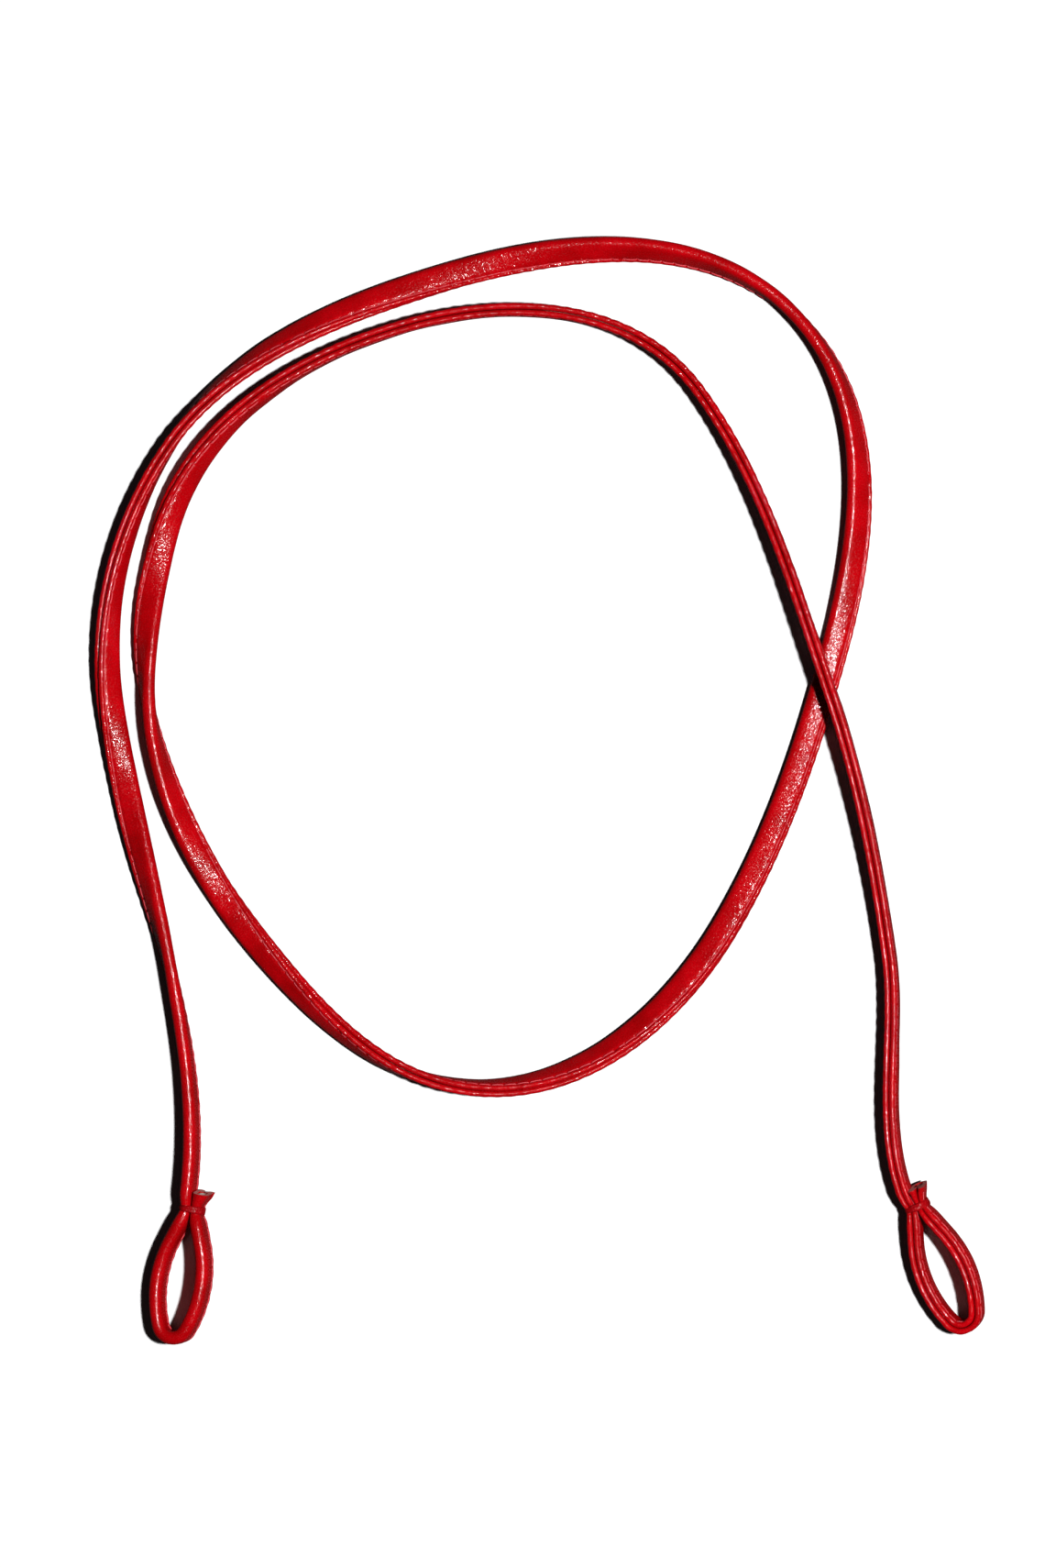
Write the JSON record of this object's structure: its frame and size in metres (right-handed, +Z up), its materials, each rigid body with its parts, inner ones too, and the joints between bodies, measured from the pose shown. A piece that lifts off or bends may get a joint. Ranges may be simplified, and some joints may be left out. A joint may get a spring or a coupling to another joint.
{
  "type": "lead rope",
  "caption": "Folded and stitched red leather lead laid in a loop, with a small bound eye at each end for a clip, ring or buckle.",
  "frame": {"origin": "on the table, under the middle of the laid lead", "axes": "+Z up from the table; +Y away from the two eyes, +X towards the right eye"},
  "size_m": [0.4072, 0.5062, 0.0213],
  "materials": {
    "strap_leather": "soft smooth nappa, glossy",
    "filler_cord": "undyed cotton cord",
    "seam_thread": "waxed polyester thread",
    "binding_thong": "narrow thong of the strap leather"
  },
  "bodies": {
    "left_eye": {"left_eye_cover": "strap_leather", "left_eye_core": "filler_cord", "left_eye_seam_thread": "seam_thread", "left_eye_binding": "binding_thong"},
    "length_01": {"cover_01": "strap_leather", "core_01": "filler_cord", "seam_thread_01": "seam_thread"},
    "length_02": {"cover_02": "strap_leather", "core_02": "filler_cord", "seam_thread_02": "seam_thread"},
    "length_03": {"cover_03": "strap_leather", "core_03": "filler_cord", "seam_thread_03": "seam_thread"},
    "length_04": {"cover_04": "strap_leather", "core_04": "filler_cord", "seam_thread_04": "seam_thread"},
    "length_05": {"cover_05": "strap_leather", "core_05": "filler_cord", "seam_thread_05": "seam_thread"},
    "length_06": {"cover_06": "strap_leather", "core_06": "filler_cord", "seam_thread_06": "seam_thread"},
    "length_07": {"cover_07": "strap_leather", "core_07": "filler_cord", "seam_thread_07": "seam_thread"},
    "length_08": {"cover_08": "strap_leather", "core_08": "filler_cord", "seam_thread_08": "seam_thread"},
    "length_09": {"cover_09": "strap_leather", "core_09": "filler_cord", "seam_thread_09": "seam_thread"},
    "length_10": {"cover_10": "strap_leather", "core_10": "filler_cord", "seam_thread_10": "seam_thread"},
    "length_11": {"cover_11": "strap_leather", "core_11": "filler_cord", "seam_thread_11": "seam_thread"},
    "length_12": {"cover_12": "strap_leather", "core_12": "filler_cord", "seam_thread_12": "seam_thread"},
    "length_13": {"cover_13": "strap_leather", "core_13": "filler_cord", "seam_thread_13": "seam_thread"},
    "length_14": {"cover_14": "strap_leather", "core_14": "filler_cord", "seam_thread_14": "seam_thread"},
    "length_15": {"cover_15": "strap_leather", "core_15": "filler_cord", "seam_thread_15": "seam_thread"},
    "length_16": {"cover_16": "strap_leather", "core_16": "filler_cord", "seam_thread_16": "seam_thread"},
    "right_eye": {"right_eye_cover": "strap_leather", "right_eye_core": "filler_cord", "right_eye_seam_thread": "seam_thread", "right_eye_binding": "binding_thong"}
  },
  "joints": [
    {"name": "left_neck_bend", "type": "hinge", "parent": "length_01", "child": "left_eye", "pos_m": [-0.161, -0.1883, 0.00915], "axis": [-0.9541, 0.1505, -0.2588], "range_deg": [-30, 30]},
    {"name": "bend_01", "type": "hinge", "parent": "length_02", "child": "length_01", "pos_m": [-0.166, -0.095, 0.0063], "axis": [-0.9816, -0.1911, 0], "range_deg": [-45, 60]},
    {"name": "bend_02", "type": "hinge", "parent": "length_03", "child": "length_02", "pos_m": [-0.196, 0.04, 0.00465], "axis": [-0.9926, -0.1212, 0], "range_deg": [-45, 60]},
    {"name": "bend_03", "type": "hinge", "parent": "length_04", "child": "length_03", "pos_m": [-0.17, 0.156, 0.0063], "axis": [-0.8474, 0.5309, 0], "range_deg": [-45, 60]},
    {"name": "bend_04", "type": "hinge", "parent": "length_05", "child": "length_04", "pos_m": [-0.048, 0.233, 0.00317], "axis": [-0.292, 0.9564, 0], "range_deg": [-45, 60]},
    {"name": "bend_05", "type": "hinge", "parent": "length_06", "child": "length_05", "pos_m": [0.118, 0.216, 0.00638], "axis": [0.7205, 0.6934, 0], "range_deg": [-45, 60]},
    {"name": "bend_06", "type": "hinge", "parent": "length_07", "child": "length_06", "pos_m": [0.135, 0.064, 0.00367], "axis": [0.9659, -0.2589, 0], "range_deg": [-45, 60]},
    {"name": "bend_07", "type": "hinge", "parent": "length_07", "child": "length_08", "pos_m": [0.085, -0.063, 0.00369], "axis": [-0.8568, 0.5157, 0], "range_deg": [-40, 0]},
    {"name": "bend_08", "type": "hinge", "parent": "length_08", "child": "length_09", "pos_m": [-0.039, -0.135, 0.00628], "axis": [0.1577, 0.9875, 0], "range_deg": [-40, 0]},
    {"name": "bend_09", "type": "hinge", "parent": "length_09", "child": "length_10", "pos_m": [-0.129, -0.07, 0.00429], "axis": [0.7774, 0.629, 0], "range_deg": [-40, 0]},
    {"name": "bend_10", "type": "hinge", "parent": "length_10", "child": "length_11", "pos_m": [-0.175, 0.019, 0.00655], "axis": [0.9705, 0.2413, 0], "range_deg": [-40, 0]},
    {"name": "bend_11", "type": "hinge", "parent": "length_11", "child": "length_12", "pos_m": [-0.171, 0.118, 0.00418], "axis": [0.9609, -0.277, 0], "range_deg": [0, 60]},
    {"name": "bend_12", "type": "hinge", "parent": "length_12", "child": "length_13", "pos_m": [-0.061, 0.212, 0.0063], "axis": [0.2749, -0.9615, 0], "range_deg": [0, 60]},
    {"name": "bend_13", "type": "hinge", "parent": "length_13", "child": "length_14", "pos_m": [0.073, 0.182, 0.0078], "axis": [-0.8094, -0.5872, 0], "range_deg": [0, 60]},
    {"name": "bend_14", "type": "hinge", "parent": "length_14", "child": "length_15", "pos_m": [0.133, 0.044, 0.01428], "axis": [-0.9456, -0.3253, 0], "range_deg": [-10, 45]},
    {"name": "bend_15", "type": "hinge", "parent": "length_15", "child": "length_16", "pos_m": [0.16, -0.075, 0.00724], "axis": [-0.9904, -0.1383, 0], "range_deg": [-45, 60]},
    {"name": "right_neck_bend", "type": "hinge", "parent": "length_16", "child": "right_eye", "pos_m": [0.1689, -0.1885, 0.00876], "axis": [-0.8808, -0.3725, -0.2924], "range_deg": [-30, 30]}
  ]
}
